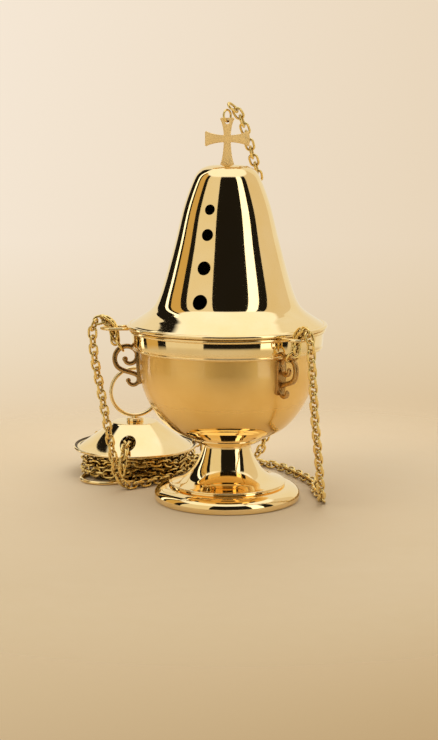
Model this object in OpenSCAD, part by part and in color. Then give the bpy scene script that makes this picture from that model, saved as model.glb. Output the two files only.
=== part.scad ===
/* [Bowl and lid] */
// Outside radius of the fire bowl's round body
bowl_r = 57; // [50:0.5:64]
// Outside radius of the polished band at its top edge
band_r = 62; // [60:0.5:70]
// Outside radius over the lid's rolled rim
lid_r = 64.5; // [62:0.5:72]
// Wall thickness of the spun shells
wall = 1.2; // [0.8:0.1:2]
// Diameters of the four smoke holes in a column, top to bottom
smoke_d = [6, 7, 8, 9]; // [4:0.5:10]

/* [Foot] */
// Outside radius of the foot's rolled base
foot_r = 47.5; // [40:0.5:56]
// Radius of the foot's narrow neck
neck_r = 16; // [14:0.5:19]
// Radius of the saucer-shaped collar under the bowl
collar_r = 24; // [21:0.5:27]

/* [Chains] */
// Thickness of the chain wire
link_wire = 1.6; // [1.2:0.1:1.8]
// Width over one chain link
link_w = 6.8; // [6:0.1:7.4]
// Length over one chain link
link_l = 9.5; // [8.8:0.1:10]
// Spacing of the links along a slack chain
link_pitch = 5.6; // [5:0.1:6]

/* [Chain cap and rings] */
// Outside radius of the cap's brim
cap_r = 43.5; // [38:0.5:46]
// Outside diameter of the handle ring
handle_d = 36; // [30:0.5:40]
// Outside diameter of the pull ring
pull_d = 36; // [30:0.5:38]
// Thickness of the wire in both large rings
ring_wire = 2.6; // [2:0.1:3.2]

/* [Cross] */
// Height of the cross
cross_h = 30; // [24:0.5:36]
// Width over the arms of the cross
cross_w = 28; // [22:0.5:34]
// Thickness of the cross plate
cross_t = 2.6; // [2:0.1:4]

/* [Hidden] */

// Directions of the three chains round the axis
az_left = -175;
az_right = -55;
az_back = 65;
azimuths = [az_left, az_right, az_back];

// Heights of the main seams
foot_top = 36.5;
bowl_base = 41.5;
ball_z = 90.3;
band_z = 99.5;
lip_z = 111.2;
lip_wire = 2.4;
rim_z = 113.9;
rim_wire = 2.6;
lid_top = 214.8;
smoke_az = [-113, 7, 127];
smoke_z = [189, 173.5, 153.5, 132.5];

// Stem screw and the bores that it passes through
screw_d = 5;
screw_bore = 5.2;

// Brackets, loops and small rings
bracket_t = 2.4;
strap_w = 7;
rivet_d = 2.4;
rivet_z = [79, 94.5];
loop_wire = 2;
loop_w = 15.5;
loop_end = 81.5;
loop_z = 112.7;
jump_r = 4.6;
jump_u = 69.2;
jump_z = 101.6;
jump_tilt = 55;

// Chain cap, resting on the heaped chain
cap_x = -64;
cap_y = 76;
cap_z = 18;
cap_h = 18;
cap_top_r = 15;
cap_brim = 4.5;
cap_hole_d = 11;
cap_hole_az = -97;
eye_az = [12, 132, 252];
boss_r = 6;
boss_h = 2.6;
shank_d = 4;
shank_bore = 4.1;
handle_turn = 8;
pull_x = -83;
pull_y = 50;
floor_z = 2.8;

brass = [0.93, 0.72, 0.30];
satin = [0.84, 0.62, 0.26];
dark_brass = [0.55, 0.40, 0.18];
steel = [0.70, 0.70, 0.68];

// ---- curves ----
function flip(p) = [for (i = [len(p) - 1:-1:0]) p[i]];
function arc(c, r, a0, a1, n = 16) =
  [for (i = [0:n]) let (a = a0 + (a1 - a0) * i / n) c + r * [cos(a), sin(a)]];
function spline_at(a, b, c, d, t) = 0.5 * (2 * b + (c - a) * t
  + (2 * a - 5 * b + 4 * c - d) * t * t + (3 * b - a - 3 * c + d) * t * t * t);
function spline(p, n = 6) = let (m = len(p) - 1)
  concat([for (i = [0:m - 1]) for (k = [0:n - 1])
    spline_at(p[max(i - 1, 0)], p[i], p[i + 1], p[min(i + 2, m)], k / n)], [p[m]]);
function bezier(a, b, c, d, n = 10) = [for (i = [0:n]) let (t = i / n, s = 1 - t)
  s * s * s * a + 3 * s * s * t * b + 3 * s * t * t * c + t * t * t * d];
function side(p, i) = let (m = len(p) - 1, d = p[min(i + 1, m)] - p[max(i - 1, 0)])
  [d.y, -d.x] / norm(d);
// A line moved sideways by t, to its right for a positive t
function beside(p, t) = [for (i = [0:len(p) - 1]) p[i] + t * side(p, i)];
// A closed band along a line: w is its full width at the start, middle and end
function band(p, w) = let (m = len(p) - 1,
    h = [for (i = [0:m]) lookup(i / m, [[0, w[0] / 2], [0.5, w[1] / 2], [1, w[2] / 2]])])
  concat([for (i = [0:m]) p[i] + h[i] * side(p, i)],
    flip([for (i = [0:m]) p[i] - h[i] * side(p, i)]));

// ---- outlines, as radius and height ----
lid_line = spline([[9, lid_top], [13, lid_top - 0.6], [17.5, 212], [21.5, 206], [27.5, 190],
  [33.3, 167], [40.5, 141.5], [45.2, 129], [49.5, 123.6], [55, 119.6], [lid_r - 3, 115.4]], 5);
bowl_line = concat([[12, bowl_base], [collar_r, bowl_base]],
  spline([[collar_r + 2, bowl_base + 0.4], [31, 43.8], [36.5, 46.9]], 4),
  arc([0, ball_z], bowl_r, -46, 0, 14));
foot_line = spline([[neck_r - 0.4, foot_top], [neck_r, 33], [neck_r + 2.4, 26.5],
  [neck_r + 7, 19.5], [neck_r + 13, 14.6], [foot_r - 11, 12.2]], 5);

// ---- chain: links strung along a route ----
function lengths(c) =
  [for (i = 0, s = 0; i < len(c); s = s + (i + 1 < len(c) ? norm(c[i + 1] - c[i]) : 0), i = i + 1) s];
function place(c, l, s) = [for (k = [0:2])
  max(lookup(s, [for (i = [0:len(c) - 1]) [l[i], c[i][k]]]), k == 2 ? floor_z : -1e3)];
// Joints between the links, evenly spaced along a smoothed route
function joints(route) = let (c = spline(route, 8), l = lengths(c), total = l[len(l) - 1],
    n = round(total / link_pitch)) [for (i = [0:n]) place(c, l, total * i / n)];
function unit(v) = v / norm(v);
function across(d) = unit(cross(abs(d.z) > 0.9 ? [1, 0, 0] : [0, 0, 1], d));
function level(v, d) = unit(v - (v * d) * d);
// Each link's direction and a side direction that follows the bends without twisting
function frames(j) = let (d = [for (i = [0:len(j) - 2]) unit(j[i + 1] - j[i])], m = len(d) - 1)
  [for (i = 0, n = across(d[0]); i <= m; n = level(n, d[min(i + 1, m)]), i = i + 1) [d[i], n]];
function around(az, u, z) = [u * cos(az), u * sin(az), z];

// From the jump ring up through the guide loop and over its outer end
function over_loop(az) = [around(az, 71.8, 104.6), around(az, 72.2, 110), around(az, 74.8, 116),
  around(az, 80, 118.8), around(az, 85, 116), around(az, 86.2, 109)];
route_left = concat(over_loop(az_left), [[-85, -4, 92], [-82.5, 3, 74], [-79.5, 10, 52],
  [-76, 15, 28], [-73, 18, 11], [-67, 21, floor_z], [-57, 27, floor_z], [-47, 36, floor_z],
  [-37, 46, floor_z], [-30, 55, floor_z]]);
route_right = concat(over_loop(az_right), [[51, -66, 90], [53.5, -54, 62], [57, -39, 34],
  [59.5, -26, 12], [61, -17, floor_z], [61, -6, floor_z], [58.5, 11, floor_z], [59, 28, floor_z],
  [54, 44, floor_z], [47, 60, floor_z], [39, 76, floor_z], [27, 88, floor_z], [11, 93, floor_z],
  [-3, 93, floor_z], [-13, 91.5, floor_z]]);
route_back = concat(over_loop(az_back), [[35.5, 81, 90], [34, 86, 64], [31, 92, 36], [27, 98, 16],
  [22, 104, 5], [13, 108, floor_z], [-2, 109, floor_z], [-14, 107.5, floor_z], [-23, 105, floor_z]]);
route_centre = [[1.5, 0.6, 252.6], [7, 4, 248], [12, 9, 236], [16, 15, 222], [20, 21, 208],
  [20, 27.5, 195], [15, 35.5, 176], [8, 42.5, 154], [0, 50, 133], [-5, 57, 124.5], [-9, 65, 120],
  [-11.6, 71.6, 113], [-12, 73.4, 100], [-12.6, 74.6, 80], [-13.6, 76, 56], [-14.8, 77.6, 30],
  [-15.5, 79.5, 8]];
route_cap = [[-66.9, 52.5, 22.6], [-67.6, 47, 25.4], [-68.2, 42, 26.6], [-68.9, 36.4, 24.8],
  [-69.5, 31.4, 21.6], [-70, 28.8, 15.6], [-70.2, 29, 9]];

module torus(r, wire, fn = 64) {
  rotate_extrude($fn = fn) translate([r, 0]) circle(d = wire, $fn = 24);
}

// A closed link of round wire, lying along X
module link() {
  bend = (link_w - link_wire) / 2;
  straight = (link_l - link_w) / 2;
  for (k = [0, 1]) mirror([k, 0, 0]) translate([straight, 0, 0]) rotate([0, 0, -90])
    rotate_extrude(angle = 180, $fn = 32) translate([bend, 0]) circle(d = link_wire, $fn = 24);
  for (k = [-1, 1]) translate([-straight, k * bend, 0]) rotate([0, 90, 0])
    cylinder(d = link_wire, h = 2 * straight, $fn = 24);
}

// Links alternate a quarter turn along the route, starting at the given roll
module chain(route, roll = 45) {
  j = joints(route);
  f = frames(j);
  color(brass) for (i = [0:len(f) - 1]) {
    c = (j[i] + j[i + 1]) / 2;
    x = f[i][0];
    y = f[i][1];
    z = cross(x, y);
    multmatrix([[x.x, y.x, z.x, c.x], [x.y, y.y, z.y, c.y], [x.z, y.z, z.z, c.z], [0, 0, 0, 1]])
      rotate([roll + i % 2 * 90, 0, 0]) link();
  }
}

// ---- bowl and foot ----
module bowl() {
  line = concat(bowl_line, [[bowl_r, band_z], [band_r - 1.6, band_z]]);
  inside = concat([[band_r - 1.6, band_z + wall], [bowl_r - wall, band_z + wall]],
    flip(beside(bowl_line, -wall)));
  color(satin) difference() {
    rotate_extrude($fn = 180) polygon(concat([[0, bowl_base]], line, inside, [[0, bowl_base + wall]]));
    translate([0, 0, bowl_base - 1]) cylinder(d = screw_bore, h = 10, $fn = 32);
    for (a = azimuths) for (z = rivet_z) rivet_place(a, z)
      cylinder(d = rivet_d, h = 12, center = true, $fn = 24);
  }
}

module bowl_band() {
  low = band_z + wall;
  color(brass) rotate_extrude($fn = 180) {
    polygon([[band_r - 2.8, low], [band_r - 1.6, low], [band_r - 1.6, band_z], [band_r - 1.1, band_z],
      [band_r - 0.9, low + 1.6], [band_r, lip_z - 1.2], [band_r - 1.2, lip_z]]);
    translate([band_r + 0.1, lip_z]) circle(d = lip_wire, $fn = 32);
  }
}

// A thin steel cup that holds the charcoal, standing on the stem screw's head
module charcoal_pan() {
  pan_r = bowl_r - 4;
  low = bowl_base + wall + 4.3;
  color(steel) rotate_extrude($fn = 120) polygon(concat([[0, low], [24, low]],
    arc([24, low + 25], 25, -90, -30, 8), [[pan_r - 3, 88], [pan_r, 88], [pan_r, 89], [pan_r - 4, 89]],
    flip(arc([24, low + 25], 24, -90, -30, 8)), [[0, low + 1]]));
}

module collar() {
  color(brass) difference() {
    rotate_extrude($fn = 120) polygon(concat([[0, foot_top], [neck_r + 0.6, foot_top]],
      bezier([neck_r + 1, foot_top + 0.5], [neck_r + 4, foot_top + 0.8],
        [collar_r - 1.4, bowl_base - 2.6], [collar_r, bowl_base - 0.9], 6),
      arc([collar_r - 0.4, bowl_base - 0.4], 0.4, 0, 90, 4), [[0, bowl_base]]));
    translate([0, 0, foot_top - 1]) cylinder(d = screw_bore, h = 10, $fn = 32);
  }
}

module foot() {
  ring = foot_r - 9.5;
  outer = concat(foot_line, [[ring - 0.6, 11.9]], arc([ring - 0.6, 11.2], 0.7, 90, -90, 6),
    [[ring - 1.2, 10.2]], bezier([ring - 1, 9.6], [foot_r - 3.5, 9.4], [foot_r, 6.4], [foot_r, 3.2], 8),
    bezier([foot_r, 2.6], [foot_r, 1.2], [foot_r - 0.4, 0.4], [foot_r - 1.2, 0], 4));
  color(brass) difference() {
    rotate_extrude($fn = 180) polygon(concat([[0, foot_top]], outer,
      [[foot_r - 5, 0], [foot_r - 5, 3], [ring - 2.6, 8.2]],
      flip(beside(foot_line, 1.4)), [[neck_r - 3, foot_top - 3], [0, foot_top - 3]]));
    translate([0, 0, foot_top - 6]) cylinder(d = screw_bore, h = 10, $fn = 32);
  }
}

module stem_screw() {
  top = bowl_base + wall;
  color(steel) {
    translate([0, 0, foot_top - 12]) cylinder(d = screw_d, h = top - foot_top + 12, $fn = 32);
    difference() {
      translate([0, 0, top]) cylinder(d = 11, h = 4, $fn = 48);
      translate([0, 0, top + 2]) cube([12, 1.4, 4.2], center = true);
    }
  }
}

module stem_washer() {
  color(steel) translate([0, 0, foot_top - 4.2]) difference() {
    cylinder(d = 13, h = 1.2, $fn = 48);
    translate([0, 0, -1]) cylinder(d = screw_bore, h = 4, $fn = 32);
  }
}

module stem_nut() {
  color(steel) translate([0, 0, foot_top - 8.4]) difference() {
    cylinder(d = 9.6, h = 4.2, $fn = 6);
    translate([0, 0, -1]) cylinder(d = screw_d, h = 8, $fn = 32);
  }
}

// ---- brackets and what hangs on them ----
module rivet_place(az, z) {
  drop = max(ball_z - z, 0);
  rotate([0, 0, az]) translate([sqrt(bowl_r * bowl_r - drop * drop), 0, z]) rotate([0, 90, 0]) children();
}

// Flat scrolled plate, outwards along X, with its strap bent to the bowl
module bracket(az) {
  top = [for (i = [0:24]) let (a = 330 - 370 * i / 24, r = 2.3 + 6.9 * pow(i / 24, 0.8))
    [63.6 + r * cos(a), 93.6 + r * sin(a)]];
  low = [for (i = [0:12]) let (a = 150 + 200 * i / 12, r = 4.2 - 1.5 * i / 12)
    [61 + r * cos(a), 79 + r * sin(a)]];
  stem = bezier(top[24], top[24] + [-3.2, -3.8], low[0] + [1.8, 3], low[0], 8);
  color(dark_brass) rotate([0, 0, az]) difference() {
    union() {
      rotate([90, 0, 0]) linear_extrude(bracket_t, center = true) union() {
        polygon(band(concat(top, [for (i = [1:7]) stem[i]], low), [2.4, 3.2, 2.2]));
        translate(top[0]) circle(d = 3.4, $fn = 24);
        translate(low[12]) circle(d = 3, $fn = 24);
      }
      translate([bowl_r - 3, -strap_w / 2, 76]) cube([4.6, strap_w, 21.5]);
    }
    bowl_outside();
    for (z = rivet_z) rotate([0, 0, -az]) rivet_place(az, z)
      cylinder(d = rivet_d, h = 5, center = true, $fn = 24);
  }
}

// The outside of the bowl and its band, as a solid that trims what lies against it
module bowl_outside() {
  rotate_extrude($fn = 180) polygon(concat([[0, bowl_base]], bowl_line, [[bowl_r, band_z],
    [band_r + 0.3, band_z], [band_r + 0.3, band_z + 8], [0, band_z + 8]]));
}

module bracket_left() { bracket(az_left); }
module bracket_right() { bracket(az_right); }
module bracket_back() { bracket(az_back); }

module bracket_rivets() {
  color(dark_brass) for (a = azimuths) for (z = rivet_z) rivet_place(a, z) {
    translate([0, 0, -2.2]) cylinder(d = rivet_d, h = 4.4, $fn = 24);
    translate([0, 0, -2.7]) cylinder(d = 4, h = 0.9, $fn = 32);
  }
}

// Open out of the bracket's plane, round the top of its scroll
module jump_ring(az) {
  color(brass) rotate([0, 0, az]) translate([jump_u, 0, jump_z]) rotate([0, -jump_tilt, 0])
    torus(jump_r, link_wire);
}
module jump_ring_left() { jump_ring(az_left); }
module jump_ring_right() { jump_ring(az_right); }
module jump_ring_back() { jump_ring(az_back); }

// ---- lid ----
module lid_shell() {
  rotate_extrude($fn = 180)
    polygon(concat([[0, lid_top]], lid_line, flip(beside(lid_line, wall)), [[0, lid_top - wall]]));
}

module lid() {
  color(brass) difference() {
    lid_shell();
    for (a = smoke_az) for (i = [0:3]) rotate([0, 0, a]) translate([18, 0, smoke_z[i]])
      rotate([0, 90, 0]) cylinder(d = smoke_d[i], h = 50, $fn = 48);
    translate([0, 0, lid_top - 5]) cylinder(d = 3.2, h = 10, $fn = 24);
    translate([0, 0, rim_z]) torus(lid_r - rim_wire / 2, rim_wire, 180);
  }
}

module lid_rim() {
  color(brass) translate([0, 0, rim_z]) torus(lid_r - rim_wire / 2, rim_wire, 180);
}

// A plain ring that drops inside the bowl's mouth and centres the lid
module lid_locating_ring() {
  color(brass) difference() {
    rotate_extrude($fn = 180) translate([band_r - 5, 106]) square([1, 11.2]);
    lid_shell();
  }
}

// A flat wire staple that guides one side chain, its two ends soldered to the rim
module guide_loop(az) {
  half = (loop_w - loop_wire) / 2;
  bend = loop_end - loop_w / 2;
  start = lid_r - 0.6;
  color(brass) rotate([0, 0, az]) translate([0, 0, loop_z]) difference() {
    union() {
      translate([bend, 0, 0]) rotate([0, 0, -90]) rotate_extrude(angle = 180, $fn = 64)
        translate([half, 0]) circle(d = loop_wire, $fn = 24);
      for (k = [-1, 1]) translate([start, k * half, 0]) rotate([0, 90, 0])
        cylinder(d = loop_wire, h = bend - start, $fn = 24);
    }
    rotate([0, 0, -az]) translate([0, 0, rim_z - loop_z]) torus(lid_r - rim_wire / 2, rim_wire, 180);
  }
}
module guide_loop_left() { guide_loop(az_left); }
module guide_loop_right() { guide_loop(az_right); }
module guide_loop_back() { guide_loop(az_back); }

// One flared arm of the cross, from the middle outwards along +Y
function arm(len, w0, w1) = let (c = bezier([w0 / 2, w0 / 2], [w0 / 2 + 0.2, len * 0.45],
  [w1 / 2 - 1.4, len * 0.8], [w1 / 2, len - 0.8], 8))
  concat(c, [[w1 / 2 - 0.6, len], [-w1 / 2 + 0.6, len]], flip([for (p = c) [-p.x, p.y]]));

module cross() {
  mid = cross_h - 13;
  color(brass) translate([0, 0, lid_top]) difference() {
    rotate([90, 0, 0]) linear_extrude(cross_t, center = true) translate([0, mid]) union() {
      polygon(arm(cross_h - mid, 4.4, 9.2));
      for (s = [-90, 90]) rotate([0, 0, s]) polygon(arm(cross_w / 2, 4.4, 9.6));
      rotate([0, 0, 180]) polygon(arm(mid, 4.4, 9.2));
      square(4.6, center = true);
    }
    translate([0, 0, -1]) cylinder(d = 2, h = 6, $fn = 24);
    translate([0, 0, cross_h - 2.6]) rotate([90, 0, 0]) cylinder(d = 2.4, h = 9, center = true, $fn = 24);
  }
}

module cross_stud() {
  color(brass) translate([0, 0, lid_top - 8]) {
    cylinder(d = 3, h = 8, $fn = 24);
    cylinder(d = 2, h = 12, $fn = 24);
  }
}

module cross_nut() {
  color(brass) translate([0, 0, lid_top - wall - 2.4]) difference() {
    cylinder(d = 6.4, h = 2.4, $fn = 6);
    translate([0, 0, -1]) cylinder(d = 3, h = 5, $fn = 24);
  }
}

module cross_ring() {
  color(brass) translate([0, 0, lid_top + cross_h + 0.9]) rotate([90, 0, 84]) torus(3.6, 1.4, 48);
}

// ---- chains ----
module chain_left() { chain(route_left, 120); }
module chain_right() { chain(route_right, 64); }
module chain_back() { chain(route_back, 2); }
module chain_centre() { chain(route_centre); }
module cap_chain() { chain(route_cap); }

// Outer shape of the slack chain that lies heaped under the cap
module chain_heap() {
  color(brass) difference() {
    union() {
      translate([cap_x, cap_y, 0]) rotate_extrude($fn = 96) polygon([[0, 0], [31, 0], [35, 4],
        [36, 9], [35, 14], [32, cap_z - 0.1], [0, cap_z - 0.1]]);
      translate([cap_x + 26, cap_y + 10, 0]) cylinder(r1 = 21, r2 = 16, h = 11, $fn = 64);
    }
    translate([pull_x, pull_y, -1]) cylinder(d = pull_d + 1.2, h = ring_wire + 2.2, $fn = 64);
  }
}

// ---- chain cap ----
module cap() {
  base = cap_r - cap_brim;
  color(brass) translate([cap_x, cap_y, cap_z]) difference() {
    rotate_extrude($fn = 120) polygon([[base - 1.4, 0], [cap_r - 0.5, 0], [cap_r, 0.5], [cap_r - 0.5, 1],
      [base, 1], [cap_top_r + 0.8, cap_h - 0.5], [cap_top_r, cap_h], [0, cap_h], [0, cap_h - 1],
      [cap_top_r - 0.6, cap_h - 1]]);
    rotate([0, 0, cap_hole_az]) translate([20, 0, 8]) rotate([0, 90, 0])
      cylinder(d = cap_hole_d, h = 30, $fn = 64);
    for (a = eye_az) rotate([0, 0, a]) translate([cap_r - 2.4, 0, -1]) cylinder(d = 2.6, h = 4, $fn = 24);
    translate([0, 0, cap_h - 5]) cylinder(d = shank_bore, h = 10, $fn = 32);
  }
}

module cap_eye_rings() {
  color(brass) translate([cap_x, cap_y, cap_z]) for (a = eye_az) rotate([0, 0, a])
    translate([cap_r + 0.4, 0, 0.5]) rotate([90, 0, 0]) torus(2.8, 1.4, 48);
}

module handle_boss() {
  color(brass) translate([cap_x, cap_y, cap_z + cap_h]) difference() {
    rotate_extrude($fn = 64)
      polygon([[0, 0], [boss_r, 0], [boss_r, 1.2], [boss_r - 1.4, boss_h], [0, boss_h]]);
    translate([0, 0, -1]) cylinder(d = shank_bore, h = 6, $fn = 32);
  }
}

// The ring, its eye and the shank that turns in the cap
module handle_ring() {
  shank_low = -4.6;
  r = (handle_d - ring_wire) / 2;
  color(brass) translate([cap_x, cap_y, cap_z + cap_h]) union() {
    translate([0, 0, shank_low]) cylinder(d = shank_d, h = boss_h + 2 - shank_low, $fn = 32);
    translate([0, 0, boss_h + 0.1 + handle_d / 2]) rotate([90, 0, handle_turn]) torus(r, ring_wire, 96);
  }
}

module handle_nut() {
  color(brass) translate([cap_x, cap_y, cap_z + cap_h - 1 - 2.5]) difference() {
    cylinder(d = 8, h = 2.4, $fn = 6);
    translate([0, 0, -1]) cylinder(d = shank_d, h = 5, $fn = 32);
  }
}

module pull_ring() {
  color(brass) translate([pull_x, pull_y, ring_wire / 2]) torus((pull_d - ring_wire) / 2, ring_wire, 96);
}

bowl();
bowl_band();
charcoal_pan();
collar();
foot();
stem_screw();
stem_washer();
stem_nut();
bracket_left();
bracket_right();
bracket_back();
bracket_rivets();
jump_ring_left();
jump_ring_right();
jump_ring_back();
lid();
lid_rim();
lid_locating_ring();
guide_loop_left();
guide_loop_right();
guide_loop_back();
cross();
cross_stud();
cross_nut();
cross_ring();
chain_left();
chain_right();
chain_back();
chain_centre();
chain_heap();
cap();
cap_eye_rings();
cap_chain();
handle_boss();
handle_nut();
handle_ring();
pull_ring();
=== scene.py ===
"""Thurible censer: turned brass bowl and bell lid, scroll brackets, link chains and chain cap."""
import math
import random

import bmesh
import bpy
from mathutils import Matrix, Vector
from mathutils.bvhtree import BVHTree


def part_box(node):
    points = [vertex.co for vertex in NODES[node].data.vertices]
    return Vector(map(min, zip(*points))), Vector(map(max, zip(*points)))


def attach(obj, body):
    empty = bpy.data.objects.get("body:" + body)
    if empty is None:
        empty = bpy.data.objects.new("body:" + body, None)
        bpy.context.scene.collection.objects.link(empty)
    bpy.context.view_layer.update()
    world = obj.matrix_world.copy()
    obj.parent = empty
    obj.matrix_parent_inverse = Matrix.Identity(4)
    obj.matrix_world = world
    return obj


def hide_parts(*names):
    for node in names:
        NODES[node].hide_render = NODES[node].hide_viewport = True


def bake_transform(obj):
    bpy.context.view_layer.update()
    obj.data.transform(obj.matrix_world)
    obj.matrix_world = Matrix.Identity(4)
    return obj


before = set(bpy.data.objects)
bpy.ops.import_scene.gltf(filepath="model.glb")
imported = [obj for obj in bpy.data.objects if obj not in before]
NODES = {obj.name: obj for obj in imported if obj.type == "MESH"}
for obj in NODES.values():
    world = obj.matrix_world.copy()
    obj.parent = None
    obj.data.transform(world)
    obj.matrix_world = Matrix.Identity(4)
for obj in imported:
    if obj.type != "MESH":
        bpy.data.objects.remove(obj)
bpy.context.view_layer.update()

MM = 0.001
UP = Vector((0, 0, 1))

# ---- sizes, in millimetres: driving ones from the parts in model.glb, the rest as in the CAD ----

def low(node, axis):
    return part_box(node)[0][axis] / MM


def high(node, axis):
    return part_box(node)[1][axis] / MM


LID_R = high("lid_rim", 0)
LID_TOP = high("lid", 2)
FOOT_R = high("foot", 0)
FOOT_TOP = high("foot", 2)
COLLAR_R = high("collar", 0)
BOWL_BASE = low("bowl", 2)
BAND_Z = low("bowl_band", 2)
LIP_Z = high("bowl_band", 2) - 1.2
BAND_R = high("bowl_band", 0) - 1.3
RIM_Z = (low("lid_rim", 2) + high("lid_rim", 2)) / 2
RIM_WIRE = high("lid_rim", 2) - low("lid_rim", 2)
CAP_X = (low("cap", 0) + high("cap", 0)) / 2
CAP_Y = (low("cap", 1) + high("cap", 1)) / 2
CAP_Z = low("cap", 2)
CAP_H = high("cap", 2) - CAP_Z
CAP_R = (high("cap", 0) - low("cap", 0)) / 2
RING_WIRE = high("pull_ring", 2)
RING_R = (high("pull_ring", 0) - low("pull_ring", 0) - RING_WIRE) / 2
PULL_X = (low("pull_ring", 0) + high("pull_ring", 0)) / 2
PULL_Y = (low("pull_ring", 1) + high("pull_ring", 1)) / 2
CROSS_H = high("cross", 2) - LID_TOP
CROSS_W = high("cross", 0) - low("cross", 0)
CROSS_T = high("cross", 1) - low("cross", 1)
LOOP_WIRE = 2.0
LOOP_Z = high("guide_loop_left", 2) - LOOP_WIRE / 2
LOOP_W = 15.5
LOOP_END = 81.5         # how far a guide loop reaches from the censer's axis
BOWL_R = 57.0
BALL_Z = 90.3           # centre of the sphere that the bowl is part of
NECK_R = 16.0
WALL = 1.2
AZIMUTH = {"left": -175, "right": -55, "back": 65}              # compass angles of the brackets
SMOKE_AZ = (-113, 7, 127)                                       # of the rows of smoke holes
SMOKE = ((190, 6.6), (174, 7.5), (153, 8.7), (131.5, 9.6))      # height and diameter of each hole
CAP_HOLE_AZ = -97       # of the hole in the cap's side
LINK_WIRE, LINK_W, LINK_L = 1.6, 6.8, 9.5
PITCH = 5.6             # from one link to the next
EYE_WIRE = 1.4
FLOOR_Z = 2.8           # height of a chain's centre where it lies on the floor
BRIM_Z = 14.2           # the highest that a chain lies under the cap's brim
SHANK_BORE = 2.1        # radius of the hole that the large ring's shank turns in
SPARE_LINKS = 5         # bunched below each guide loop, for the lid's lift
CREASE = 34             # degrees; the shading splits at sharper edges

# ---- curves ----

def corners(*points):
    return [Vector(p) for p in points]


def spline(points, n):
    """Points of a smooth curve through the given points, n to a stretch."""
    p = corners(*points)
    out = []
    for i in range(len(p) - 1):
        a, b, c, d = p[max(i - 1, 0)], p[i], p[i + 1], p[min(i + 2, len(p) - 1)]
        for k in range(n):
            t = k / n
            out.append(0.5 * (2 * b + (c - a) * t + (2 * a - 5 * b + 4 * c - d) * t * t
                              + (3 * b - a - 3 * c + d) * t ** 3))
    return out + [p[-1]]


def bezier(a, b, c, d, n):
    a, b, c, d = corners(a, b, c, d)
    steps = [(i / n, 1 - i / n) for i in range(n + 1)]
    return [s ** 3 * a + 3 * s * s * t * b + 3 * s * t * t * c + t ** 3 * d for t, s in steps]


def arc(centre, r, a0, a1, n):
    """Points of an arc between two angles in degrees."""
    angles = [math.radians(a0 + (a1 - a0) * i / n) for i in range(n + 1)]
    return [Vector((centre[0] + r * math.cos(a), centre[1] + r * math.sin(a))) for a in angles]


def sideways(p, i):
    """The right-hand normal of a flat line at its point i."""
    d = p[min(i + 1, len(p) - 1)] - p[max(i - 1, 0)]
    return Vector((d.y, -d.x)).normalized()


def beside(p, t):
    """The line moved t to its right."""
    return [p[i] + t * sideways(p, i) for i in range(len(p))]


def around(azimuth, u, z):
    """The point at a compass angle, a distance from the axis and a height."""
    a = math.radians(azimuth)
    return Vector((u * math.cos(a), u * math.sin(a), z))


# ---- materials ----

def new_material(name):
    m = bpy.data.materials.new(name)
    m.use_nodes = True
    tree = m.node_tree
    return m, tree, tree.nodes["Principled BSDF"]


def node(tree, kind, inputs=None, **settings):
    n = tree.nodes.new(kind)
    for key, value in settings.items():
        setattr(n, key, value)
    for key, value in (inputs or {}).items():
        if isinstance(value, bpy.types.NodeSocket):
            tree.links.new(value, n.inputs[key])
        else:
            n.inputs[key].default_value = value
    return n


def noise(tree, scale, stretch=(1, 1, 1), detail=4.0):
    """Noise in the object's own metres, stretched to suit brushing and scratches."""
    where = node(tree, "ShaderNodeTexCoord").outputs["Object"]
    mapped = node(tree, "ShaderNodeMapping", {"Vector": where, "Scale": stretch}).outputs[0]
    return node(tree, "ShaderNodeTexNoise", {"Vector": mapped, "Scale": scale, "Detail": detail})


def ramp(tree, value, stops, between="LINEAR"):
    r = node(tree, "ShaderNodeValToRGB", {"Fac": value})
    r.color_ramp.interpolation = between
    while len(r.color_ramp.elements) < len(stops):
        r.color_ramp.elements.new(0.5)
    for element, (at, colour) in zip(r.color_ramp.elements, stops):
        element.position = at
        element.color = (*colour, 1)
    return r.outputs["Color"]


def spread(tree, value, lowest, highest, start=0.3, end=0.7):
    r = node(tree, "ShaderNodeMapRange", {"Value": value, "From Min": start, "From Max": end,
                                          "To Min": lowest, "To Max": highest})
    return r.outputs["Result"]


def blended(tree, share, first, second, how="MIX"):
    """Two colours mixed by a share, or multiplied."""
    inputs = {0: share, 6: first, 7: second}
    return node(tree, "ShaderNodeMix", inputs, data_type="RGBA", blend_type=how).outputs[2]


def metal(name, light, deep, rough, rough_spread, bump, bump_scale, stretch=(1, 1, 1)):
    """Metal with a cloudy tint, uneven gloss and a fine surface grain."""
    m, tree, shader = new_material(name)
    cloud = noise(tree, 45).outputs["Fac"]
    tint = ramp(tree, cloud, ((0.32, deep), (0.62, light)))
    grain = noise(tree, bump_scale, stretch, 6).outputs["Fac"]
    tree.links.new(tint, shader.inputs["Base Color"])
    tree.links.new(spread(tree, grain, rough, rough + rough_spread), shader.inputs["Roughness"])
    relief = node(tree, "ShaderNodeBump", {"Height": grain, "Strength": bump, "Distance": 0.0001})
    tree.links.new(relief.outputs[0], shader.inputs["Normal"])
    shader.inputs["Metallic"].default_value = 1.0
    return m


def darken_hollows_dirt_and_shade(m, dirt_and_shade_colour, reach, own_colour_kept):
    """Darkens the hollows of a cast or wired piece by how shut in they are, and leaves a share of its own
    colour there: painted shade in the gaps of a chain, and dirt together with painted shade in a bracket's
    recesses.
    """
    tree = m.node_tree
    shader = tree.nodes["Principled BSDF"]
    base = shader.inputs["Base Color"].links[0].from_socket
    # painted shade: the occlusion darkens the colour where the hollows lie in shade
    shade = node(tree, "ShaderNodeAmbientOcclusion", {"Distance": reach}, samples=6).outputs["AO"]
    amount = spread(tree, shade, 1 - own_colour_kept, 0.0, 0.35, 0.9)
    tree.links.new(blended(tree, amount, base, (*dirt_and_shade_colour, 1)), shader.inputs["Base Color"])
    return m


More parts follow.
